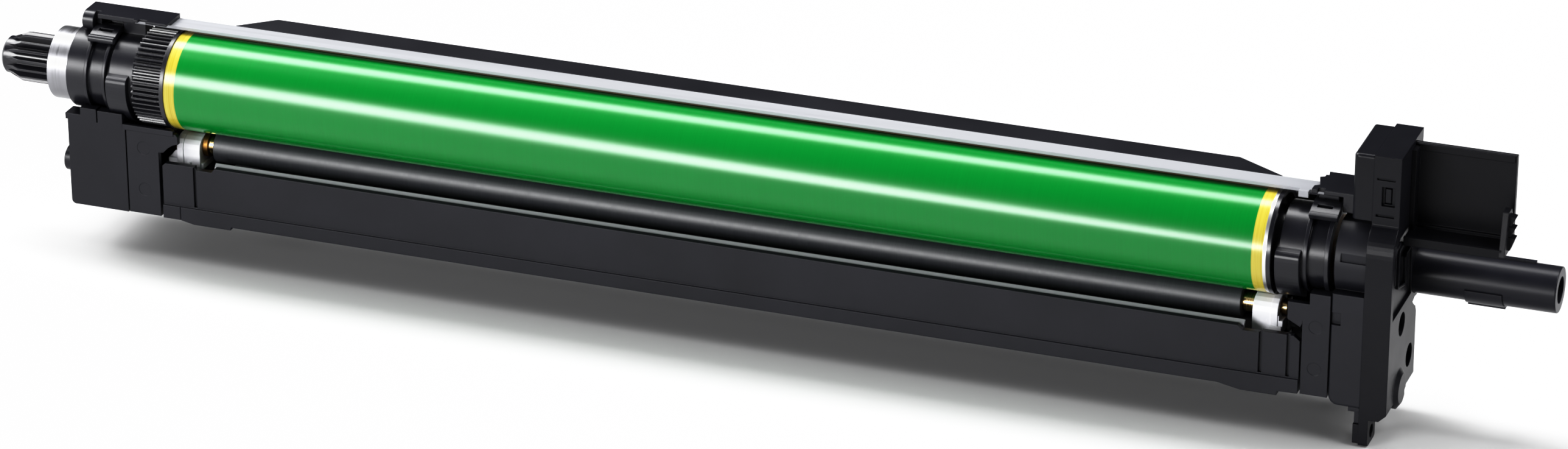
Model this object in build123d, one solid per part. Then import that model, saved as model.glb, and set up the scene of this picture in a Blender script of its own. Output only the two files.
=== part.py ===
from build123d import *
import math
import os

os.makedirs("parts", exist_ok=True)

# ---- driving dimensions, millimetres -------------------------------------
# X runs along the drum axis, drive end on the left (-X); Y is depth, +Y away
# from the front panel; Z is up. The drawing frame has its zero at the left
# rim of the drum tube; ORIGIN_X moves it to the seat of the locating collar.
ORIGIN_X = 33.3
DRUM_R = 15.0          # outside radius of the coated tube
DRUM_RI = 14.2
DRUM_LEN = 340.25
GEAR_M = 0.55          # drum gear module
GEAR_Z = 52
AUG_Z = 21
AUG_ANG = -31.8        # direction of the waste screw seen along the axis
AUG_D = GEAR_M * (GEAR_Z + AUG_Z) / 2 + 0.06
AUG_Y = AUG_D * math.cos(math.radians(AUG_ANG))
AUG_ZZ = AUG_D * math.sin(math.radians(AUG_ANG))
ROLL_R = 5.0           # charging roller
ROLL_SHAFT_R = 3.0
ROLL_Z = -20.05
ROLL_X0, ROLL_X1 = 10.8, 330.6
COLLAR_R = 11.0        # locating collar
JOURNAL_R = 8.0
RING_R = 12.5          # bearing holders
LIP_R = 13.0
PAD_R = 14.7           # raised pads on the bearing holders
SPLINE_N = 16
SPLINE_R = 7.6
TUBE_R = 6.75          # waste outlet tube
TUBE_RI = 5.2
FRONT_Y = -13.0        # plane of the front panel
FLOOR_Z = -40.0
PLATE_X0, PLATE_X1 = 368.4, 376.2


def box(x0, x1, y0, y1, z0, z1):
    return Solid.make_box(x1 - x0, y1 - y0, z1 - z0, Plane(origin=(x0, y0, z0)))


def cyl(x0, x1, r, y=0.0, z=0.0):
    pl = Plane(origin=(x0, y, z), x_dir=(0, 1, 0), z_dir=(1, 0, 0))
    return Solid.make_cylinder(r, x1 - x0, pl)


def ring(x0, x1, ro, ri, y=0.0, z=0.0):
    return cyl(x0, x1, ro, y, z) - cyl(x0 - 1, x1 + 1, ri, y, z)


def prx(pts, x0, x1):
    w = Wire.make_polygon([Vector(x0, y, z) for y, z in pts], close=True)
    return Solid.extrude(Face(w), Vector(x1 - x0, 0, 0))


def pry(pts, y0, y1):
    w = Wire.make_polygon([Vector(x, y0, z) for x, z in pts], close=True)
    return Solid.extrude(Face(w), Vector(0, y1 - y0, 0))


def prz(pts, z0, z1):
    w = Wire.make_polygon([Vector(x, y, z0) for x, y in pts], close=True)
    return Solid.extrude(Face(w), Vector(0, 0, z1 - z0))


def sector(x0, x1, ro, ri, a0, a1, n=24):
    pts = []
    for i in range(n + 1):
        t = math.radians(a0 + (a1 - a0) * i / n)
        pts.append((ro * math.cos(t), ro * math.sin(t)))
    for i in range(n + 1):
        t = math.radians(a1 + (a0 - a1) * i / n)
        pts.append((ri * math.cos(t), ri * math.sin(t)))
    return prx(pts, x0, x1)


def fil(shape, radius, pick):
    edges = [e for e in shape.edges() if pick(e)]
    if not edges:
        return shape
    try:
        return shape.fillet(radius, edges)
    except Exception:
        return shape


def along(e, axis):
    d = e @ 1 - e @ 0
    v = {"X": abs(d.X), "Y": abs(d.Y), "Z": abs(d.Z)}
    tot = math.sqrt(d.X ** 2 + d.Y ** 2 + d.Z ** 2)
    return e.geom_type == GeomType.LINE and tot > 1e-6 and v[axis] / tot > 0.999


def mid(e):
    return e @ 0.5


def gear(x0, x1, m, z, y=0.0, zz=0.0, phase=0.0, slack=0.05):
    """Spur gear with 20 degree flanks, extruded along X; a tooth is centred on phase."""
    rp = m * z / 2
    ra = rp + m * 0.95
    rf = rp - 1.2 * m
    rb = rp * math.cos(math.radians(20))

    def inv(r):
        if r <= rb:
            return 0.0
        a = math.acos(rb / r)
        return math.tan(a) - a

    half = math.pi / (2 * z) - slack / (2 * rp)
    pts = []
    rs = [max(rf, rb * 0.998), rp - 0.45 * m, rp, rp + 0.5 * m, ra]
    for i in range(z):
        c = phase + 2 * math.pi * i / z
        flank = [(r, half + inv(rp) - inv(r)) for r in rs]
        foot = flank[0][1] + 0.10 * (math.pi / z - flank[0][1])
        seq = [(rf, -foot)] + [(r, -h) for r, h in flank] + [(r, h) for r, h in reversed(flank)] + [(rf, foot)]
        last = None
        for r, h in seq:
            p = (y + r * math.cos(c + h), zz + r * math.sin(c + h))
            if last is None or math.dist(p, last) > 1e-4:
                pts.append(p)
                last = p
    return prx(pts, x0, x1)


def save(name, shape):
    s = shape
    if isinstance(s, (ShapeList, list)):
        s = Compound(list(s))
    s = s.moved(Location((ORIGIN_X, 0, 0)))
    export_step(s, "parts/" + name + ".step")


def pad(x0, x1, top):
    """Raised pad round the lower front of a bearing holder, with a ramp at its top edge."""
    pts = [(12.3, top), (12.9, top + 1.6), (13.8, top + 3.8), (14.35, top + 6.0), (14.6, top + 8.5), (PAD_R, top + 11.0)]
    pts += [(PAD_R, a) for a in range(int(top) + 16, 256, 5)] + [(12.0, 255.0)]
    pts += [(12.0, a) for a in range(250, int(top) + 4, -6)]
    return prx([(r * math.cos(math.radians(a)), r * math.sin(math.radians(a))) for r, a in pts], x0, x1)


ax_y, ax_z = AUG_Y, AUG_ZZ
pad_space = cyl(-19.5, -12.3, PAD_R + 0.15)
pad_space_r = cyl(342.2, 349.9, PAD_R + 0.15)
drum_space = cyl(-2.0, 342.0, DRUM_R + 0.6)

# ======================= drum =============================================
save("drum_tube", ring(0, DRUM_LEN, DRUM_R, DRUM_RI))

# drive flange: gear, rim, spigot in the tube, journal in the collar
g = gear(-10.75, -1.25, GEAR_M, GEAR_Z)
fl = g + cyl(-1.25, 0, DRUM_R + 0.35) + (cyl(0, 12, DRUM_RI) - cyl(2.5, 13, DRUM_RI - 2.0))
fl = fl + cyl(-36.0, -10.5, JOURNAL_R)
fl = fl - cyl(-36.5, 3.5, 4.0)
fl = fl - (cyl(-11.0, -8.5, 12.0) - cyl(-12, -8, JOURNAL_R))
save("drive_flange", fl)

# male spline coupling with a nose and pointed lead-ins
core = cyl(-57.9, -36.0, 5.7) + Solid.make_cone(5.0, 5.7, 0.72, Plane(origin=(-58.6, 0, 0), x_dir=(0, 1, 0), z_dir=(1, 0, 0)))
tooth = prx([(5.2, -0.95), (SPLINE_R, -0.36), (SPLINE_R, 0.36), (5.2, 0.95)], -57.0, -36.0)
tooth = tooth & pry([(-57.0, 0.0), (-52.8, -0.95), (-35.9, -0.95), (-35.9, 0.95), (-52.8, 0.95)], 5.0, 8.0)
env = Solid.make_cone(5.75, SPLINE_R + 0.02, 4.6, Plane(origin=(-56.8, 0, 0), x_dir=(0, 1, 0), z_dir=(1, 0, 0)))
env = env + cyl(-52.2, -36.0, SPLINE_R + 0.02)
tooth = tooth & env
teeth = tooth.rotate(Axis.X, 180 / SPLINE_N)
for i in range(1, SPLINE_N):
    teeth = teeth + tooth.rotate(Axis.X, (i + 0.5) * 360 / SPLINE_N)
sp = core + teeth
sp = sp + cyl(-36.2, -22.0, 4.0)
save("drive_coupling", sp)

# plain flange at the other end
rf = cyl(DRUM_LEN, DRUM_LEN + 1.25, DRUM_R + 0.2) + (cyl(DRUM_LEN - 11, DRUM_LEN, DRUM_RI) - cyl(DRUM_LEN - 12, DRUM_LEN - 2.5, DRUM_RI - 2))
rf = rf + cyl(DRUM_LEN + 1.0, 342.9, 10.4) + cyl(342.5, 357.0, 6.0)
rf = rf - (cyl(339.2, 342.0, 13.8) - cyl(339, 343, 10.4)) - cyl(334, 357.5, 2.6)
save("end_flange", rf)

# earthing spider inside the tube at the end flange
ep = cyl(328.4, 329.25, DRUM_RI) - cyl(328, 330, 9.5)
for a in range(0, 360, 60):
    ep = ep + (box(328.4, 329.25, 2.2, 10.5, -1.2, 1.2).rotate(Axis((0, 0, 0), (1, 0, 0)), a))
ep = ep + ring(328.4, 329.25, 3.6, 1.9)
save("earth_spider", ep)

# ======================= drive-end bearing ================================
save("locating_collar", ring(-40.5, -33.3, COLLAR_R, JOURNAL_R + 0.05) + ring(-33.3, -19.6, COLLAR_R - 0.6, JOURNAL_R + 0.05))

h = cyl(-33.3, -27.3, RING_R) + cyl(-27.3, -26.4, LIP_R) + cyl(-26.4, -21.3, RING_R - 0.9)
h = h + cyl(-21.3, -20.4, LIP_R) + cyl(-20.4, -19.2, RING_R - 1.2) + cyl(-19.2, -11.4, RING_R)
lug = pad(-19.2, -12.6, 161.5)
h = h + lug
h = h + box(-19.2, -12.0, -0.3, 5.0, 8.0, 16.2)           # post under the blade bracket
h = h + box(-31.0, -14.4, -5.4, 8.0, -18.0, -10.5)        # foot in the cover
h = h - cyl(-34, -19.6, COLLAR_R - 0.6) - cyl(-20, -11, JOURNAL_R + 0.7)
h = h - Solid.make_cylinder(1.25, 5.0, Plane(origin=(-14.0, 2.2, 12.4)))
save("bearing_holder_left", h)

# ======================= left end housings ================================
ring_space = cyl(-34.6, -11.3, LIP_R + 0.02)
dc = box(-33.2, -14.2, FRONT_Y, 20.0, -40.2, -12.4)
dc = fil(dc, 1.4, lambda e: along(e, "Y") and mid(e).X < -33 and mid(e).Z < -40)
dc = dc - box(-31.4, -14.0, FRONT_Y + 1.8, 18.2, -38.4, -14.2)
dc = dc - box(-31.0, -14.0, -5.4, 8.0, -18.2, -12.0)
dc = dc + box(-33.9, -28.9, FRONT_Y, -5.6, -12.5, -10.6)
dc = dc + box(-28.9, -23.6, FRONT_Y, -9.0, -12.5, -8.2)
dc = dc + box(-23.2, -15.0, FRONT_Y, -9.0, -12.5, -8.5)
dc = dc - ring_space - pad_space - box(-15.0, -14.1, FRONT_Y - 0.3, -12.0, -13.25, -11.4)
dc = dc + cyl(-35.2, -33.0, 3.85, -9.0, -26.9)
dc = dc - box(-33.3, -31.0, 12.0, 15.0, -30.0, -24.0)
save("drive_cover", dc)

fe = box(-13.8, -3.4, FRONT_Y, 20.0, -40.0, -13.2)
fe = fe - box(-12.0, -3.0, FRONT_Y + 1.8, 18.2, -38.2, -15.0)
fe = fe + pry([(-3.5, -19.2), (-1.8, -19.0), (-0.9, -18.1), (-0.1, -17.3), (1.3, -16.3), (2.4, -15.9), (3.1, -15.8), (3.1, -13.4), (2.4, -12.6), (-3.5, -12.6)], FRONT_Y, -11.4)
fe = fe + box(-14.9, 1.8, FRONT_Y - 0.25, -12.0, -13.25, -11.5)
fe = fe - cyl(-14.5, 4.5, DRUM_R + 1.0)
fe = fe - cyl(-11.4, -2.0, 7.3, ax_y, ax_z)
fe = fe - cyl(-14.5, -11.0, 2.05, ax_y, ax_z)
fe = fe - cyl(-9.0, 4.0, 3.6, 0, ROLL_Z)
fe = fe - pad_space
for ez in (-18.5, -32.0):
    fe = fe - Solid.make_cylinder(2.1, 0.12, Plane(origin=(-8.3, FRONT_Y + 0.1, ez), x_dir=(1, 0, 0), z_dir=(0, -1, 0)))
fe = fil(fe, 0.7, lambda e: along(e, "X") and mid(e).Z > -11.6)
save("frame_end_left", fe)

# ======================= main frame =======================================
x0, x1 = -2.3, 350.5
wall = pry([(x0, -36.0), (x0, -23.3), (-1.4, -22.4), (8.2, -22.3), (8.3, -23.2), (13.9, -23.2), (14.9, -21.9), (332.2, -21.9), (333.7, -23.2), (339.0, -23.2), (339.1, -22.6), (348.6, -22.6), (x1, -24.1), (x1, -36.0)], FRONT_Y, FRONT_Y + 1.8)
for gx in (7.8, 338.6, 346.7):
    wall = wall - box(gx, gx + 1.0, FRONT_Y - 0.1, FRONT_Y + 0.9, -35.5, -22.5)
band = pry([(x0, -40.0), (3.2, -40.0), (7.8, -40.9), (19.8, -40.9), (20.0, -40.0), (327.0, -40.2), (333.8, -41.5), (344.4, -41.5), (344.5, -40.2), (x1, -40.0), (x1, -35.8), (x0, -35.8)], FRONT_Y - 0.7, FRONT_Y + 1.8)
band = band - box(3.3, 3.5, FRONT_Y - 0.8, FRONT_Y - 0.35, -41.0, -35.0)
mf = wall + band
mf = mf + box(x0, x1, FRONT_Y, 22.0, FLOOR_Z, FLOOR_Z + 1.8)
mf = mf + box(x0, x1, 20.4, 22.0, FLOOR_Z, -14.0) + box(-11.0, x0 + 0.1, 20.4, 22.0, FLOOR_Z, -18.0)
hop = box(x0, x1, 10.2, 24.4, -17.8, 7.0)
hop = hop - (cyl(x0 - 1, x1 + 1, 5.3, ax_y, ax_z) + box(x0 - 1, x1 + 1, ax_y - 5.3, ax_y + 5.9, ax_z, 8.0))
hop = hop - cyl(x0 - 1, x1 + 1, DRUM_R + 0.9)
mf = mf + hop
mf = mf - cyl(-3, 0.6, 7.3, ax_y, ax_z)
# guides for the roller holders and spring cups
for cx in (2.9, 337.9):
    mf = mf + Solid.make_cylinder(1.6, 4.0, Plane(origin=(cx, 0, FLOOR_Z + 1.7)))
for px in (80.0, 170.0, 260.0):
    mf = mf + box(px, px + 1.6, -10.1, 20.5, FLOOR_Z + 1.7, -28.4)
save("main_frame", mf)

# sheet under the roller
sh = prx([(-10.9, -28.3), (-10.9, -22.4), (-9.8, -21.3), (-9.3, -21.8), (-10.2, -22.7), (-10.2, -27.5), (7.6, -27.5), (7.6, -28.3)], 14.0, 333.6)
end = box(333.5, 350.2, -10.9, 7.6, -34.5, -27.5) + box(333.5, 350.2, -10.9, -10.2, -28.0, -24.6)
end = fil(end, 1.6, lambda e: along(e, "Y") and mid(e).X > 350 and mid(e).Z > -28 and mid(e).Y > -10)
end = end - box(333.0, 349.5, -10.2, 7.7, -35.0, -28.3) - box(333.0, 350.3, -11.0, -10.1, -35.0, -28.3)
sh = sh + end
sh = sh - box(333.0, 344.8, -3.1, 3.1, -29.0, -27.0)
save("roller_sheet", sh)

# ======================= charging roller ==================================
shaft = cyl(-7.2, 340.2, ROLL_SHAFT_R, 0, ROLL_Z) + cyl(340.2, 343.6, 2.4, 0, ROLL_Z)
save("charge_shaft", shaft)
save("charge_sleeve", ring(ROLL_X0, ROLL_X1, ROLL_R, ROLL_SHAFT_R, 0, ROLL_Z))
save("shaft_bush", ring(6.6, 8.3, 3.7, ROLL_SHAFT_R + 0.04, 0, ROLL_Z))

drum_clear = cyl(-10, 350, DRUM_R + 0.9)


def holder(xa, xb, side):
    b = prx([(4.6, -26.3), (4.6, -16.9), (-0.9, -16.6), (-2.6, -16.9), (-4.1, -17.6), (-5.0, -18.7), (-5.4, -20.2), (-5.4, -26.0), (-5.0, -26.3)], xa, xb)
    xr = xa if side < 0 else xb - 2.0
    b = b + prx([(0.0, -16.55), (-2.8, -16.7), (-4.4, -17.5), (-5.3, -18.7), (-5.65, -20.2), (-5.65, -25.0), (0.0, -25.0)], xr, xr + 2.0)
    if side < 0:
        b = b + box(xa - 3.0, xa + 0.4, -5.4, 2.0, -25.6, -23.8)
        b = b + pry([(xa - 2.9, -23.9), (xa - 1.1, -21.6), (xa + 0.1, -21.2), (xa + 0.1, -23.9)], -4.6, -3.8)
        b = b - box(xa + 1.9, xa + 3.0, -5.8, -5.0, -26.4, -25.2)
        b = b + box(xa + 3.2, xa + 4.3, -5.9, -3.0, -26.6, -24.4)
        b = b + box(xb - 0.2, xb + 0.9, -5.0, 3.0, -26.3, -24.6)
    else:
        b = b + box(xb - 0.4, xb + 1.5, -5.4, 2.0, -26.3, -22.4)
        b = b + box(xb - 2.6, xb + 1.3, -6.1, -5.0, -26.3, -24.0)
        b = b - box(xb - 1.6, xb + 0.0, -6.2, -5.6, -26.4, -25.2)
        b = b + box(xb - 0.1, xb + 0.4, -5.4, 2.0, -22.5, -20.9)
    b = b - cyl(xa - 5, xb + 5, ROLL_SHAFT_R + 0.05, 0, ROLL_Z) - drum_clear
    cx = 2.9 if side < 0 else 337.9
    b = b + Solid.make_cylinder(1.4, 3.0, Plane(origin=(cx, 0, -29.0)))
    return b


save("roller_holder_left", holder(-0.8, 6.6, -1))
save("roller_holder_right", holder(334.4, 341.8, 1))


def spring(cx, cy, za, zb, r, wr, turns):
    hx = Edge.make_helix(pitch=(zb - za - 2 * wr) / turns, height=zb - za - 2 * wr, radius=r, center=(cx, cy, za + wr))
    pl = Plane(origin=hx @ 0, z_dir=hx % 0)
    return Solid.sweep(Face(Wire.make_circle(wr, pl)), Wire([hx]))


save("holder_spring_left", spring(2.9, 0, FLOOR_Z + 1.8, -26.3, 2.4, 0.3, 6))
save("holder_spring_right", spring(337.9, 0, FLOOR_Z + 1.8, -28.6 + 2.3, 2.4, 0.3, 6))

# bias contact beside the shaft end
ct = box(343.8, 344.2, -1.6, 1.6, -38.2, -17.5) + box(343.8, 349.0, -1.6, 1.6, -38.2, -37.8)
save("charge_contact", ct)

# ======================= cleaning parts ===================================
br = box(-16.0, 357.5, -0.6, 5.6, 16.2, 17.2)
br = br + box(345.6, 348.5, -2.2, -0.5, 16.2, 17.2) + box(345.6, 348.5, -2.4, -1.6, 15.3, 17.2)
br = br - Solid.make_cylinder(1.6, 3, Plane(origin=(-14.0, 2.2, 15.5))) - Solid.make_cylinder(1.6, 3, Plane(origin=(353.5, 3.6, 15.5)))
save("blade_bracket", br)
bl = prx([(0.9, 15.04), (0.9, 16.2), (5.5, 16.2), (5.5, 15.3)], 1.5, 338.5)
save("cleaning_blade", bl)
save("recovery_seal", prx([(10.2, -12.3), (9.9, -12.3), (9.9, -11.9), (10.2, -11.9)], 2.0, 348.0) + prx([(9.95, -12.0), (10.2, -12.0), (10.55, -11.35), (10.4, -11.25)], 2.0, 348.0))

# waste hopper lid with a raised middle that closes against the bracket
rc = box(x0, x1, 16.0, 24.4, 7.0, 8.2)
up = prx([(5.7, 17.3), (14.2, 17.3), (24.4, 9.6), (24.4, 7.0), (23.0, 7.0), (23.0, 8.9), (13.7, 16.0), (7.6, 16.0), (7.6, 14.6), (6.4, 14.6), (6.4, 16.2), (5.7, 16.2)], 10.0, 344.0)
plan = prz([(14.9, 5.5), (24.8, 14.0), (37.2, 24.6), (303.6, 24.6), (324.9, 13.7), (339.1, 5.5)], 0.0, 30.0)
up = up & plan
rc = rc - box(37.0, 304.0, 15.0, 23.0, 6.0, 9.0)
rc = rc + up
rc = rc - drum_clear
save("rear_cover", rc)

# waste screw and its gear
fw = Wire.make_polygon([Vector(3.0, ax_y, ax_z - 0.45), Vector(3.0, ax_y + 4.5, ax_z - 0.4), Vector(3.0, ax_y + 4.5, ax_z + 0.4), Vector(3.0, ax_y, ax_z + 0.45)], close=True)
flight = Solid.extrude_linear_with_rotation(Face(fw), (3.0, ax_y, ax_z), (390.0, 0, 0), 360 * 26)
scr = flight + cyl(-14.0, 412.0, 1.6, ax_y, ax_z)
scr = scr + cyl(-11.0, -10.5, 3.2, ax_y, ax_z)
scr = scr + cyl(-14.0, -11.0, 2.0, ax_y, ax_z)
save("waste_screw", scr)
ph = math.radians(AUG_ANG) + math.pi + math.pi / AUG_Z
# phase of the pair: a drum-gear gap faces the screw at AUG_ANG
k = round(math.radians(AUG_ANG) / (2 * math.pi / GEAR_Z) - 0.5)
gap_dir = (k + 0.5) * 2 * math.pi / GEAR_Z
off = math.radians(AUG_ANG) - gap_dir
ph = math.radians(AUG_ANG) + math.pi + off * GEAR_Z / AUG_Z
ag = gear(-10.5, -3.2, GEAR_M, AUG_Z, ax_y, ax_z, phase=ph) - cyl(-11, -3, 1.6, ax_y, ax_z)
save("waste_gear", ag)

# ======================= right end ========================================
h = cyl(343.2, 350.2, RING_R - 0.1)
h = h + cyl(350.2, 351.3, LIP_R) + cyl(351.3, 356.4, RING_R - 0.9) + cyl(356.4, 357.6, LIP_R)
lug_r = pad(342.6, 349.6, 163.5)
h = h + lug_r
h = h + box(351.0, 356.8, 0.0, 6.4, 8.0, 16.2)
h = h - cyl(343, 358, 10.0)
h = h - Solid.make_cylinder(1.25, 5.0, Plane(origin=(353.5, 3.6, 12.4)))
save("bearing_holder_right", h)
save("end_bush", ring(344.0, 357.6, 10.0, 6.05))

ring_space_r = cyl(342.8, 358.0, LIP_R + 0.02)
fr = box(351.0, 358.9, FRONT_Y, 20.0, -40.2, -13.8)
fr = fr - box(350.9, 357.2, FRONT_Y + 1.8, 18.2, -38.4, -15.6)
fr = fr + box(352.9, 358.9, FRONT_Y, -9.0, -13.9, -8.8)
fr = fr + pry([(346.6, -12.2), (352.9, -12.2), (352.9, -16.0), (351.1, -16.0), (350.9, -18.6), (350.4, -19.6), (346.6, -17.6)], FRONT_Y, FRONT_Y + 1.8)
fr = fr - ring_space_r - pad_space_r - cyl(342.0, 352.0, DRUM_R + 0.9)
for ez in (-19.1, -32.0):
    fr = fr - Solid.make_cylinder(2.0, 0.12, Plane(origin=(354.9, FRONT_Y + 0.1, ez), x_dir=(1, 0, 0), z_dir=(0, -1, 0)))
fr = fr - cyl(350, 360, 6.8, ax_y, ax_z)
save("frame_end_right", fr)

eh = box(359.1, PLATE_X0, FRONT_Y, 18.0, -42.2, -7.8)
eh = fil(eh, 3.0, lambda e: along(e, "Y") and mid(e).X < 360 and mid(e).Z < -42)
eh = fil(eh, 0.8, lambda e: along(e, "Z") and mid(e).X < 360 and mid(e).Y < -12)
eh = eh - box(361.0, PLATE_X0 + 0.1, FRONT_Y + 1.8, 16.2, -40.4, -13.8)
eh = eh - box(359.0, 362.0, FRONT_Y - 0.1, FRONT_Y + 1.2, -17.4, -13.6)
eh = eh + (cyl(359.2, PLATE_X0, RING_R - 0.4) - cyl(360.8, 380, RING_R - 2.2) - box(359, 369, -8, 8, 11.2, 13))
eh = eh - box(360.9, 368.5, -12.6, -11.35, 1.7, 4.3)
eh = eh + box(365.2, PLATE_X0, FRONT_Y, -5.0, -43.2, -42.0) + box(366.9, PLATE_X0, FRONT_Y + 0.6, -5.0, -47.0, -42.0)
eh = eh - cyl(358, 370, 6.8, ax_y, ax_z)
save("end_housing", eh)

# side cover: deep shell with the tall connector block and the lower tab
outline = [(-13.0, -45.3), (-13.0, 4.6)]
for i in range(1, 9):
    t = math.radians(180 - i * 63 / 8)
    outline.append((-4.4 + 8.6 * math.cos(t), 4.6 + 8.6 * math.sin(t)))
outline += [(-8.0, 12.8), (-8.0, 33.4), (16.2, 33.4), (16.2, -2.6)]
for i in range(13):
    t = math.radians(92 - i * 16.5)
    outline.append((AUG_Y + 7.9 * math.cos(t), AUG_ZZ + 7.9 * math.sin(t)))
outline += [(12.6, -18.9), (14.6, -20.6), (16.4, -21.7), (17.4, -23.7), (18.0, -45.3)]
sc = prx(outline, PLATE_X0, PLATE_X1)
inner = [(-11.2, -43.5), (-11.2, 4.6), (-9.6, 9.0), (-6.2, 11.4), (-6.2, 31.6), (14.4, 31.6), (14.4, -4.6), (10.0, -9.0), (9.4, -13.0), (10.8, -19.6), (14.4, -22.9), (15.6, -24.6), (16.2, -43.5)]
sc = sc - prx(inner, PLATE_X0 - 1, PLATE_X1 - 1.8)
sc = sc - prx([(-10.4, -15.0), (-10.4, 4.2), (-8.6, 7.4), (-5.5, 8.5), (8.6, 8.5), (10.2, -15.0)], PLATE_X1 - 0.9, PLATE_X1 + 1)
# bottom edge chamfered along the outer face
sc = sc - pry([(PLATE_X1 - 2.3, -45.4), (PLATE_X1 + 0.1, -43.1), (PLATE_X1 + 0.1, -45.4)], -20, 30)
rib = prx([(-9.4, -4.4), (-9.4, 5.6), (-8.4, 6.5), (-4.4, 6.9), (-4.4, 6.2), (-8.0, 5.6), (-8.7, 4.8), (-8.7, -4.4)], PLATE_X1 - 1.4, PLATE_X1)
rib = rib + prx([(-5.7, -6.6), (-5.7, 3.9), (-4.8, 4.9), (-0.8, 5.5), (-0.8, 4.8), (-4.4, 4.1), (-5.0, 3.3), (-5.0, -6.6)], PLATE_X1 - 1.4, PLATE_X1 + 0.1)
rib = rib + prx([(2.2, -8.6), (1.0, 0.1), (1.9, 1.0), (8.8, 1.3), (8.8, 0.6), (2.2, 0.3), (1.8, -0.2), (3.0, -8.6)], PLATE_X1 - 1.4, PLATE_X1 + 0.3)
rib = rib + prx([(-5.7, -6.6), (-5.0, -6.6), (3.0, -8.6), (2.4, -9.3), (-5.2, -7.3)], PLATE_X1 - 1.4, PLATE_X1)
sc = sc + rib
sc = sc - cyl(370, 380, 3.5, 0.8, -20.6) - cyl(370, 380, 3.5, 11.2, -34.8)
dome = Solid.make_cone(6.0, 4.4, 1.1, Plane(origin=(PLATE_X1, 0.4, -40.4), x_dir=(0, 1, 0), z_dir=(1, 0, 0)))
sc = sc + cyl(PLATE_X1 - 2.6, PLATE_X1, 6.0, 0.4, -40.4) + dome - cyl(370, 380, 0.9, 4.2, -42.6)
sc = sc - cyl(374.4, 380, 3.5, 0.8, -20.6) - cyl(374.4, 380, 3.5, 11.2, -34.8)
sc = sc - cyl(360, 380, 6.8, ax_y, ax_z)
# window and snap recess in the front of the block
sc = sc - box(370.9, 374.7, -9.0, -6.9, 18.6, 24.4) - box(371.6, 373.6, -9.0, -5.9, 18.9, 24.1)
sc = sc - box(369.4, 374.6, -8.1, -7.4, 26.3, 26.9) - box(369.4, 374.6, -8.1, -7.2, 15.2, 15.9)
# lower tab with a cross hole
tab = box(368.4, 371.1, FRONT_Y, -4.4, -53.8, -45.2)
tab = fil(tab, 1.2, lambda e: along(e, "X") and mid(e).Z < -53)
tab = tab + fil(box(366.7, 368.5, FRONT_Y + 0.1, -5.6, -53.2, -47.1), 0.7, lambda e: along(e, "X") and mid(e).Z < -53)
tab = tab - cyl(366, 372, 2.0, -8.6, -50.4)
sc = sc + tab
sc = fil(sc, 0.8, lambda e: along(e, "Z") and mid(e).Y < -7.9 and mid(e).X > 376)
save("side_cover", sc)

# left half of the tall block with the latch that shows in the window
bc = box(362.5, PLATE_X0, -8.0, 13.8, 13.6, 33.4)
bc = fil(bc, 1.6, lambda e: along(e, "Z") and mid(e).X < 363 and mid(e).Y < -7)
bc = fil(bc, 1.0, lambda e: along(e, "Y") and mid(e).X < 363 and mid(e).Z > 33)
bc = bc - box(364.1, PLATE_X0 + 0.1, -6.4, 12.2, 15.2, 31.8)
bc = bc + box(364.0, 373.4, -6.2, -5.0, 19.4, 23.6) + box(371.8, 373.4, -7.2, -5.9, 19.4, 23.6)
save("block_cover", bc)

# connector inside the block
cn = box(364.6, 373.0, -1.0, 9.0, 16.5, 29.5) - box(366.0, 373.1, 0.6, 7.4, 18.0, 28.0)
for i in range(4):
    cn = cn + box(365.9, 371.5, 3.6, 4.4, 19.2 + 2.2 * i, 20.0 + 2.2 * i)
save("memory_connector", cn)

# open tray beside the block
ty = box(PLATE_X1, 405.1, 7.4, 9.2, 5.8, 32.6)
ty = fil(ty, 0.8, lambda e: along(e, "X") and mid(e).Z > 32)
ty = ty + box(PLATE_X1, 404.0, -2.2, 9.2, 5.8, 7.2)
ty = ty + box(PLATE_X1, 404.0, -2.2, -1.2, 5.0, 7.6)
ty = ty + prx([(-2.5, 5.6), (0.3, 18.2), (4.0, 18.2), (7.5, 13.0), (7.5, 5.6)], 403.4, 405.1)
ty = ty + box(403.4, 405.1, 1.6, 8.0, 5.8, 8.2)
for i in range(3):
    zt = 10.2 + 3.15 * i
    ty = ty + pry([(405.0, zt + 0.3), (407.0, zt), (405.7, zt - 2.7 - (1.0 if i == 0 else 0.0)), (405.0, zt - 2.7 - (1.0 if i == 0 else 0.0))], 1.2, 4.0)
ty = ty + box(PLATE_X1, 377.6, 3.5, 9.2, 5.8, 31.6)
ty = ty + box(377.0, 404.6, 7.0, 7.5, 30.4, 32.3) + box(376.4, 403.5, 6.5, 7.5, 7.1, 8.1)
save("cable_tray", ty)

# waste outlet tube
tb = ring(359.2, 417.2, TUBE_R - 0.05, TUBE_RI, ax_y, ax_z)
tb = tb + (cyl(416.2, 417.4, TUBE_R - 0.2, ax_y, ax_z) - cyl(416, 418, 3.9, ax_y, ax_z))
tb = tb + (box(376.3, 410.0, ax_y + 0.4, ax_y + 1.6, ax_z + 6.0, ax_z + 7.35))
tb = tb - box(392.4, 401.2, ax_y - 3.4, ax_y + 3.4, ax_z - 8, ax_z - 3.5)
save("waste_tube", tb)
sv = sector(391.4, 402.2, TUBE_R + 0.45, TUBE_R + 0.06, 190, 350, 32).moved(Location((0, ax_y, ax_z)))
sv = sv + box(391.4, 402.2, ax_y - 1.2, ax_y + 1.2, ax_z - 7.9, ax_z - 7.1)
save("tube_shutter", sv)

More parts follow.
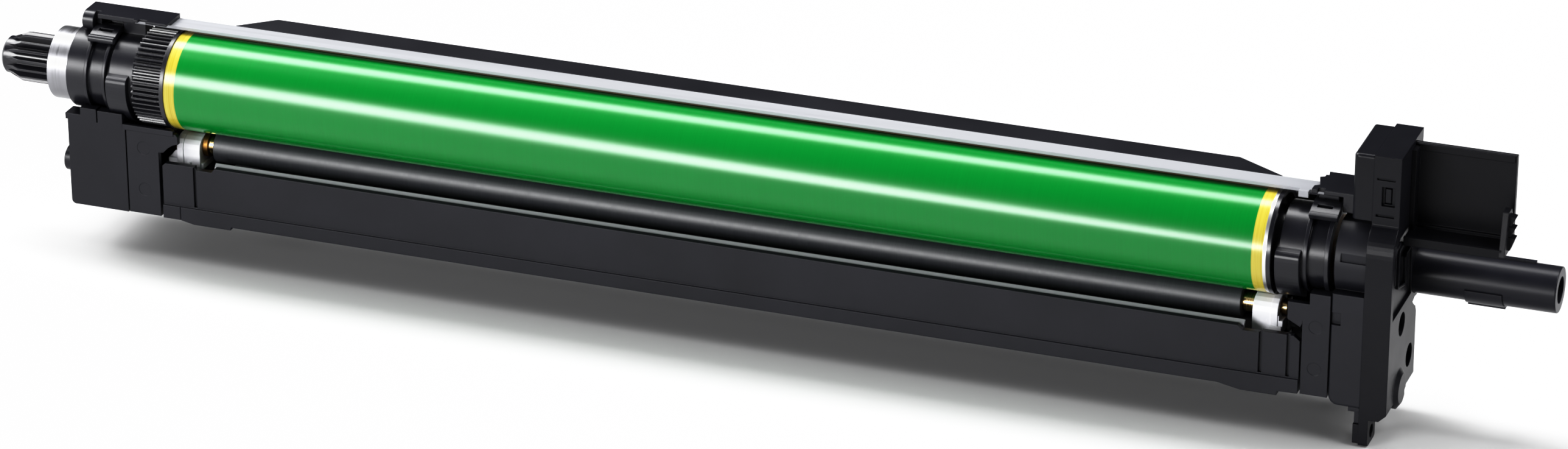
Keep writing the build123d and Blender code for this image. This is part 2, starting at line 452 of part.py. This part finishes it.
# ======================= caps =============================================
cl = box(-14.3, -3.4, -3.9, 5.8, 17.9, 18.6) + box(-14.3, -3.4, -0.8, 5.8, 17.2, 18.6) + box(-26.4, -14.3, -3.0, 5.8, 17.2, 18.6) + box(-31.4, -26.4, -0.6, 5.8, 13.0, 18.6)
cl = cl - box(-12.8, -10.2, -4.0, -2.6, 17.0, 18.7)
nose = cyl(-31.4, -27.9, 3.1, -0.6, 15.5)
cl = cl + nose
cl = cl + box(-27.4, -19.4, 3.0, 5.8, 12.8, 17.3)
cl = cl - cyl(-34, -10, LIP_R) - cyl(-21.2, -3.0, DRUM_R + 0.6)
# strap round the ring, with two windows and a thick rounded lip
bandl = sector(-27.7, -19.4, LIP_R + 1.6, LIP_R + 0.004, 68, 119, 20)
bandl = bandl + cyl(-27.7, -19.4, 1.15, -(LIP_R + 0.95) * 0.484, (LIP_R + 0.95) * 0.875)
bandl = bandl - cyl(-30, -17, LIP_R)
bandl = bandl - sector(-25.0, -20.3, 16.0, 12.0, 79, 88.5, 4) - sector(-25.7, -21.2, 16.0, 12.0, 102.5, 107.5, 3)
cl = cl + bandl
cl = cl - box(-19.3, -11.9, -2.6, 5.1, 10.0, 16.3)
cl = cl - Solid.make_cylinder(2.8, 1.0, Plane(origin=(-14.0, 2.2, 17.1)))
save("cap_left", cl)

cr = prz([(349.5, -2.8), (351.2, -2.8), (351.2, -1.2), (353.1, -1.2), (353.1, -2.8), (362.4, -2.8), (362.4, 10.6), (351.2, 10.6), (351.8, 7.5), (349.5, 6.2), (351.0, 0.9), (349.6, 0.0)], 17.2, 18.4)
cr = cr + box(350.2, 362.4, 6.0, 10.6, 12.6, 17.3) + box(358.7, 362.4, -2.8, 10.6, 12.0, 17.3)
cr = cr - cyl(345, 365, LIP_R)
bandr = sector(350.2, 358.5, LIP_R + 1.9, LIP_R + 0.004, 62, 121, 20)
bandr = bandr + sector(350.2, 358.5, LIP_R + 2.2, LIP_R + 0.5, 117, 122, 6)
bandr = bandr - sector(352.8, 357.8, 16.0, 12.0, 81, 93, 4) - sector(351.8, 356.2, 16.0, 12.0, 104, 109, 3)
cr = cr + bandr
cr = cr - box(350.9, 356.9, -0.1, 6.5, 10.0, 16.3)
cr = cr - box(350.0, 357.6, -0.7, 5.7, 16.1, 17.3)
cr = cr - Solid.make_cylinder(2.8, 1.0, Plane(origin=(353.5, 3.6, 17.1)))
save("cap_right", cr)

# screws: shank into the posts, pan head on the bracket
scw = []
for sx, sy in ((-14.0, 2.2), (353.5, 3.6)):
    s = Solid.make_cylinder(1.25, 5.0, Plane(origin=(sx, sy, 12.4))) + Solid.make_cylinder(2.4, 0.7, Plane(origin=(sx, sy, 17.2)))
    s = s - box(sx - 1.5, sx + 1.5, sy - 0.25, sy + 0.25, 17.5, 18.0)
    scw.append(s)
save("bracket_screws", scw)
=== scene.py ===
"""Looks for the printer drum unit: materials, studio floor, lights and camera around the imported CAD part. Metres."""

import math

import bpy
from mathutils import Euler, Matrix, Vector


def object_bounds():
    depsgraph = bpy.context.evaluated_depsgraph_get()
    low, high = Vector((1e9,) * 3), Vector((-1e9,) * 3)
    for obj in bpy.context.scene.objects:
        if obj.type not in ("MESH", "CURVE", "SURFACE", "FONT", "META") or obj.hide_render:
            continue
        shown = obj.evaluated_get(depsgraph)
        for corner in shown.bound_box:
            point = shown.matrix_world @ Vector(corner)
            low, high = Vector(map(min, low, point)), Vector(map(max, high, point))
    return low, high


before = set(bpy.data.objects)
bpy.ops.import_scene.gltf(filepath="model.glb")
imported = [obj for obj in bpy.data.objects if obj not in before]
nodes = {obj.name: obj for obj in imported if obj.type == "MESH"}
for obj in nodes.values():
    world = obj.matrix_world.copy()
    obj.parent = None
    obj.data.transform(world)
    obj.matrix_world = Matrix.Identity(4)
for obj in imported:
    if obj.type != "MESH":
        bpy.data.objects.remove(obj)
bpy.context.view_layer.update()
OX = 0.0333  # the drum's left rim along X in the part frame


# ---------------------------------------------------------------- node helpers
class Net:
    """A material's node tree with short calls for the nodes used here."""

    def __init__(self, name):
        self.m = bpy.data.materials.new(name)
        self.m.use_nodes = True
        self.t = self.m.node_tree
        self.t.nodes.clear()
        self.out = self.t.nodes.new("ShaderNodeOutputMaterial")
        self.bsdf = self.t.nodes.new("ShaderNodeBsdfPrincipled")
        self.t.links.new(self.bsdf.outputs[0], self.out.inputs[0])
        self.obj = self.t.nodes.new("ShaderNodeTexCoord").outputs["Object"]

    def put(self, sock, v):
        if isinstance(v, bpy.types.NodeSocket):
            self.t.links.new(v, sock)
        elif v is not None:
            sock.default_value = v

    def set(self, **kw):
        for k, v in kw.items():
            self.put(self.bsdf.inputs[k.replace("_", " ")], v)

    def math(self, op, a, b=None, c=None, clamp=False):
        n = self.t.nodes.new("ShaderNodeMath")
        n.operation = op
        n.use_clamp = clamp
        for i, v in enumerate((a, b, c)):
            self.put(n.inputs[i], v)
        return n.outputs[0]

    def mapped(self, scale, where=None):
        n = self.t.nodes.new("ShaderNodeMapping")
        self.t.links.new(where or self.obj, n.inputs[0])
        n.inputs["Scale"].default_value = scale
        return n.outputs[0]

    def noise(self, scale, detail=3.0, rough=0.5, vec=None):
        n = self.t.nodes.new("ShaderNodeTexNoise")
        self.t.links.new(vec or self.obj, n.inputs["Vector"])
        n.inputs["Scale"].default_value = scale
        n.inputs["Detail"].default_value = detail
        n.inputs["Roughness"].default_value = rough
        return n.outputs[0]

    def ramp(self, fac, *stops, mode="LINEAR"):
        n = self.t.nodes.new("ShaderNodeValToRGB")
        n.color_ramp.interpolation = mode
        e = n.color_ramp.elements
        while len(e) < len(stops):
            e.new(0.5)
        for i, (p, c) in enumerate(stops):
            e[i].position = p
            e[i].color = (*c, 1) if len(c) == 3 else c
        self.t.links.new(fac, n.inputs[0])
        return n.outputs[0]

    def span(self, v, a, b, c=0.0, d=1.0):
        n = self.t.nodes.new("ShaderNodeMapRange")
        n.clamp = True
        self.put(n.inputs[0], v)
        for i, x in enumerate((a, b, c, d)):
            n.inputs[i + 1].default_value = x
        return n.outputs[0]

    def mix(self, fac, a, b, blend="MIX"):
        n = self.t.nodes.new("ShaderNodeMix")
        n.data_type = "RGBA"
        n.blend_type = blend
        self.put(n.inputs[0], fac)
        for s, v in ((n.inputs[6], a), (n.inputs[7], b)):
            self.put(s, (*v, 1) if isinstance(v, tuple) and len(v) == 3 else v)
        return n.outputs[2]

    def xyz(self):
        n = self.t.nodes.new("ShaderNodeSeparateXYZ")
        self.t.links.new(self.obj, n.inputs[0])
        return n.outputs[0], n.outputs[1], n.outputs[2]

    def edge(self, radius):
        """(rounded normal, 0..1 mask of the edges within radius)"""
        b = self.t.nodes.new("ShaderNodeBevel")
        b.samples = 4
        b.inputs[0].default_value = radius
        g = self.t.nodes.new("ShaderNodeNewGeometry")
        d = self.t.nodes.new("ShaderNodeVectorMath")
        d.operation = "DOT_PRODUCT"
        self.t.links.new(b.outputs[0], d.inputs[0])
        self.t.links.new(g.outputs["Normal"], d.inputs[1])
        return b.outputs[0], self.span(d.outputs["Value"], 0.995, 0.86)

    def bump(self, height, strength, dist, normal=None):
        n = self.t.nodes.new("ShaderNodeBump")
        n.inputs["Strength"].default_value = strength
        n.inputs["Distance"].default_value = dist
        self.t.links.new(height, n.inputs["Height"])
        if normal is not None:
            self.t.links.new(normal, n.inputs["Normal"])
        return n.outputs[0]


def plastic(name, base, rough=0.36, grain=0.00004, edge_r=0.00035, edge_gain=1.7, spec=0.5, coat=0.0, mottle=0.12):
    """Injection-moulded plastic: faint flow mottling, fine spark-eroded grain, round edges and a colour that is
    lighter along the edges.
    """
    n = Net(name)
    soft, mask = n.edge(edge_r)
    big = n.noise(38, 4, 0.55)
    fine = n.noise(2600, 2, 0.6)
    lo = tuple(c * (1 - mottle) for c in base)
    hi = tuple(c * (1 + mottle) for c in base)
    col = n.ramp(big, (0.3, lo), (0.7, hi))
    speck = n.noise(900, 3, 0.7)
    col = n.mix(n.span(speck, 0.62, 0.82, 0, 0.35), col, tuple(c * 1.5 for c in base))
    # Colour made lighter along the edges, in noisy patches.
    edge_lightening = n.math("MULTIPLY", mask, n.span(n.noise(420, 3, 0.6), 0.35, 0.7, 0.45, 1.0))
    col = n.mix(n.math("MULTIPLY", edge_lightening, 0.8), col, tuple(min(1, c * edge_gain) for c in base))
    r = n.span(big, 0.25, 0.75, rough - 0.04, rough + 0.05)
    n.set(Base_Color=col, Roughness=r, Specular_IOR_Level=spec, Coat_Weight=coat, Coat_Roughness=0.2)
    n.set(Normal=n.bump(fine, 0.35, grain, soft))
    return n.m


def metal(name, base, rough, axis_scale, depth=0.00001, edge_r=0.0002, tint=None):
    """Turned, drawn or rolled metal with a grain along one direction."""
    n = Net(name)
    soft, mask = n.edge(edge_r)
    lines = n.noise(1.0, 2, 0.6, n.mapped(axis_scale))
    patch = n.noise(60, 3, 0.55)
    col = n.ramp(lines, (0.3, tuple(c * 0.86 for c in base)), (0.7, base))
    col = n.mix(n.span(patch, 0.45, 0.8, 0, 0.35), col, tint or tuple(c * 0.8 for c in base))
    col = n.mix(n.math("MULTIPLY", mask, 0.5), col, tuple(min(1, c * 1.25) for c in base))
    r = n.span(lines, 0.25, 0.75, rough * 0.8, rough * 1.25)
    n.set(Base_Color=col, Metallic=1.0, Roughness=r)
    n.set(Normal=n.bump(lines, 0.4, depth, soft))
    return n.m


def give(mat, *names):
    for nm in names:
        o = nodes[nm]
        o.data.materials.clear()
        o.data.materials.append(mat)


# ---------------------------------------------------------------- materials
BLACK = (0.0150, 0.0152, 0.0205)
SPEC = 0.40
give(plastic("black_moulding", BLACK, 0.40, spec=SPEC), "main_frame", "frame_end_left", "frame_end_right", "end_housing")
# Painted shade: the tray, side cover and block cover get darker copies of the same black plastic, standing in for the
# shade at the right end.
give(plastic("black_tray_painted_shade", tuple(c * 0.45 for c in BLACK), 0.38, spec=0.26), "cable_tray")
give(plastic("black_side_painted_shade", tuple(c * 0.66 for c in BLACK), 0.36, spec=0.30), "side_cover", "block_cover")
give(plastic("black_cover", tuple(c * 0.95 for c in BLACK), 0.36, spec=SPEC), "drive_cover", "tube_shutter", "memory_connector")
give(plastic("black_holder", tuple(c * 0.9 for c in BLACK), 0.29, spec=0.56), "bearing_holder_left", "bearing_holder_right", "cap_left", "cap_right")
give(plastic("black_rear", tuple(c * 0.8 for c in BLACK), 0.42, spec=SPEC), "rear_cover")
give(plastic("black_tube", tuple(c * 0.95 for c in BLACK), 0.32, spec=0.32), "waste_tube")
give(plastic("black_gear", tuple(c * 0.8 for c in BLACK), 0.25, edge_r=0.0002, spec=0.75), "drive_flange", "drive_coupling", "end_flange")
give(plastic("white_holder", (0.88, 0.88, 0.92), 0.4, edge_gain=1.05, mottle=0.02, spec=0.4), "roller_holder_left", "roller_holder_right")
give(plastic("pale_gear", (0.50, 0.48, 0.43), 0.45, edge_gain=1.1, mottle=0.04), "waste_screw", "waste_gear")
give(plastic("film", (0.012, 0.012, 0.012), 0.2, edge_r=0.0001), "recovery_seal")


def drum():
    """Coated tube: green coat between yellow bands, bare turned edge at the far end, bare bore."""
    n = Net("drum_coat")
    x, y, z = n.xyz()
    xd = n.math("SUBTRACT", x, OX)
    rad = n.math("SQRT", n.math("ADD", n.math("MULTIPLY", y, y), n.math("MULTIPLY", z, z)))
    lines = n.noise(1.0, 2, 0.55, n.mapped((2600, 30, 30)))
    cloud = n.noise(1.0, 3, 0.5, n.mapped((9, 40, 40)))
    green = n.ramp(lines, (0.25, (0.0006, 0.178, 0.031)), (0.75, (0.0008, 0.190, 0.034)))
    green = n.mix(n.span(cloud, 0.35, 0.7, 0, 0.25), green, (0.0007, 0.172, 0.029))
    yellow = n.ramp(lines, (0.25, (0.36, 0.30, 0.035)), (0.75, (0.46, 0.40, 0.085)))
    bare = n.ramp(lines, (0.25, (0.55, 0.55, 0.56)), (0.75, (0.80, 0.80, 0.80)))
    is_left = n.span(xd, 0.00343, 0.00363)
    is_right = n.span(xd, 0.33586, 0.33606)
    is_bare = n.span(xd, 0.33915, 0.33925)
    col = n.mix(is_left, yellow, green)
    col = n.mix(is_right, col, yellow)
    col = n.mix(is_bare, col, bare)
    inner = n.math("LESS_THAN", rad, 0.0146)
    col = n.mix(inner, col, bare)
    soft, mask = n.edge(0.00015)
    coat = n.math("SUBTRACT", 1.0, n.math("MAXIMUM", is_bare, inner))
    n.set(Base_Color=col, Metallic=n.span(n.math("MAXIMUM", is_bare, inner), 0, 1, 0.0, 1.0), Roughness=n.span(lines, 0.2, 0.8, 0.34, 0.38), Specular_IOR_Level=0.0)
    n.set(Coat_Weight=coat, Coat_Roughness=n.span(cloud, 0.3, 0.7, 0.20, 0.22), Coat_IOR=1.58)
    n.set(Normal=n.bump(lines, 0.06, 0.000003, soft))
    return n.m


give(drum(), "drum_tube")
give(metal("turned_steel", (0.33, 0.33, 0.345), 0.36, (1800, 60, 60), depth=0.000003), "locating_collar")
give(metal("brass", (0.62, 0.47, 0.26), 0.25, (2000, 50, 50)), "charge_shaft")
give(metal("bronze", (0.30, 0.17, 0.06), 0.42, (500, 500, 500), tint=(0.12, 0.07, 0.03)), "shaft_bush", "end_bush")
give(metal("wire", (0.55, 0.55, 0.56), 0.3, (700, 700, 700)), "holder_spring_left", "holder_spring_right", "charge_contact", "earth_spider", "bracket_screws")


def painted(name, base, rough, scale):
    n = Net(name)
    soft, mask = n.edge(0.00025)
    drawn = n.noise(1.0, 3, 0.55, n.mapped(scale))
    col = n.ramp(drawn, (0.3, tuple(c * 0.93 for c in base)), (0.7, base))
    col = n.mix(n.math("MULTIPLY", mask, 0.5), col, tuple(min(1, c * 1.15) for c in base))
    n.set(Base_Color=col, Roughness=n.span(drawn, 0.3, 0.7, rough - 0.05, rough + 0.06), Metallic=0.25)
    n.set(Normal=n.bump(n.noise(1600, 2, 0.6), 0.2, 0.00002, soft))
    return n.m


give(painted("bracket_coat", (0.36, 0.365, 0.385), 0.42, (6, 700, 700)), "blade_bracket")
give(painted("plated_sheet", (0.36, 0.365, 0.38), 0.34, (6, 700, 700)), "roller_sheet")


def roller():
    """Ground conductive rubber with fine turning lines."""
    n = Net("roller_rubber")
    soft, mask = n.edge(0.0003)
    lines = n.noise(1.0, 2, 0.5, n.mapped((3000, 40, 40)))
    dust = n.noise(1400, 3, 0.7)
    col = n.ramp(lines, (0.3, (0.036, 0.038, 0.044)), (0.7, (0.046, 0.048, 0.055)))
    col = n.mix(n.span(dust, 0.6, 0.85, 0, 0.4), col, (0.06, 0.06, 0.065))
    n.set(Base_Color=col, Roughness=n.span(lines, 0.3, 0.7, 0.38, 0.46), Specular_IOR_Level=0.75)
    n.set(Normal=n.bump(dust, 0.25, 0.00003, soft))
    return n.m


give(roller(), "charge_sleeve")


def urethane():
    n = Net("urethane")
    soft, mask = n.edge(0.0002)
    drawn = n.noise(1.0, 2, 0.5, n.mapped((20, 900, 900)))
    n.set(Base_Color=n.ramp(drawn, (0.3, (0.050, 0.034, 0.016)), (0.7, (0.075, 0.052, 0.026))), Roughness=0.35)
    n.set(Normal=soft)
    return n.m


give(urethane(), "cleaning_blade")

# ---------------------------------------------------------------- stage
lo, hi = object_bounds()
FLOOR = lo[2] - 0.0002


def studio_floor():
    """One wide pale sheet, flat under the part, with painted shade darkening it towards the front (-Y), which the drum
    and panels reflect.
    """
    pts = [(-12.0, 0.0), (-3.0, 0.0), (3.0, 0.0), (12.0, 0.0)]
    verts, faces = [], []
    for y, z in pts:
        verts += [(-12.0, y, FLOOR + z), (12.0, y, FLOOR + z)]
    for i in range(len(pts) - 1):
        faces.append((2 * i, 2 * i + 1, 2 * i + 3, 2 * i + 2))
    me = bpy.data.meshes.new("studio_floor")
    me.from_pydata(verts, [], faces)
    for p in me.polygons:
        p.use_smooth = True
    o = bpy.data.objects.new("studio_floor", me)
    bpy.context.scene.collection.objects.link(o)
    n = Net("pale_paper")
    cloud = n.noise(2.0, 3, 0.5)
    x, y, z = n.xyz()
    pale = n.ramp(cloud, (0.3, (0.52, 0.52, 0.522)), (0.7, (0.54, 0.54, 0.54)))
    # Painted shade: the floor goes darker from y -0.17 to -0.90, standing in for dark surroundings in front of the
    # part.
    n.set(Base_Color=n.mix(n.span(y, -0.90, -0.17), (0.36, 0.36, 0.362), pale), Roughness=0.9, Specular_IOR_Level=0.1)
    me.materials.append(n.m)


studio_floor()


def area(name, direction, dist, size, power, aim=(0.17, 0.0, 0.0), color=(1, 1, 1), roll=None):
    """A softbox at dist along direction from aim, facing aim, its long side along X."""
    d = Vector(direction).normalized()
    L = bpy.data.lights.new(name, "AREA")
    L.shape = "RECTANGLE"
    L.size, L.size_y = size
    L.energy = power
    L.color = color
    o = bpy.data.objects.new(name, L)
    bpy.context.scene.collection.objects.link(o)
    o.location = Vector(aim) + d * dist
    zc = d
    xc = Vector((1, 0, 0))
    xc = (xc - zc * xc.dot(zc)).normalized()
    yc = zc.cross(xc)
    o.rotation_euler = Matrix((xc, yc, zc)).transposed().to_euler()
    return o


def from_angle(deg, x):
    """Direction towards a light seen at that angle up from the front (-Y), with that X part."""
    k = math.sqrt(1 - x * x)
    return Vector((x, -math.cos(math.radians(deg)) * k, math.sin(math.radians(deg)) * k))


def strip(name, a, b, beyond, width, power):
    """A long softbox whose middle line runs through a and b, facing the part."""
    a, b = Vector(a), Vector(b)
    mid = (a + b) / 2
    xc = (b - a).normalized()
    zc = mid - Vector((0.17, 0.0, 0.0))
    zc = (zc - xc * zc.dot(xc)).normalized()
    yc = zc.cross(xc)
    L = bpy.data.lights.new(name, "AREA")
    L.shape = "RECTANGLE"
    L.size, L.size_y = (b - a).length + 2 * beyond, width
    L.energy = power
    o = bpy.data.objects.new(name, L)
    bpy.context.scene.collection.objects.link(o)
    o.location = mid
    o.rotation_euler = Matrix((xc, yc, zc)).transposed().to_euler()
    return o


def seen_from(xp, deg, x, dist):
    """The point at dist from the drum axis at xp, in the direction from_angle(deg, x)."""
    return Vector((xp, 0.0, 0.0)) + from_angle(deg, x) * dist


area("top_box", from_angle(107, -0.31), 1.6, (2.6, 0.50), 36)
area("side_box_a", (0.78, 0.06, 0.62), 1.6, (1.2, 1.2), 23)
area("side_box_b", (-0.80, 0.10, 0.60), 1.6, (1.2, 1.2), 23)
strip("front_strip", seen_from(0.06, 19, -0.40, 1.7), seen_from(0.33, 3, -0.27, 1.7), 0.5, 0.42, 32)

world = bpy.data.worlds.new("studio")
bpy.context.scene.world = world
world.use_nodes = True
bg = world.node_tree.nodes["Background"]
bg.inputs[0].default_value = (0.94, 0.96, 1.0, 1)
bg.inputs[1].default_value = 0.06

cam = bpy.data.cameras.new("camera")
cam.sensor_width = 36.0
cam.sensor_fit = "HORIZONTAL"
cam.lens = 36.0 * 9457.5 / 2576
cam.clip_start, cam.clip_end = 0.05, 60
co = bpy.data.objects.new("camera", cam)
bpy.context.scene.collection.objects.link(co)
co.location = (0.715198 + OX, -1.434299, 0.671337)
co.rotation_euler = Euler((math.radians(90 - 24.302), 0, math.radians(20.058)))
bpy.context.scene.camera = co

vs = bpy.context.scene.view_settings
vs.view_transform = "Standard"
vs.look = "None"
vs.exposure = 0.0
# The tone curve of a product picture: clean whites, deep shadows.
vs.use_curve_mapping = True
cm = vs.curve_mapping
cm.use_clip = False
tone = cm.curves[3]
for px, py in ((0.04, 0.016), (0.1, 0.056), (0.2, 0.15), (0.35, 0.35), (0.6, 0.76), (0.8, 0.97)):
    tone.points.new(px, py)
cm.update()
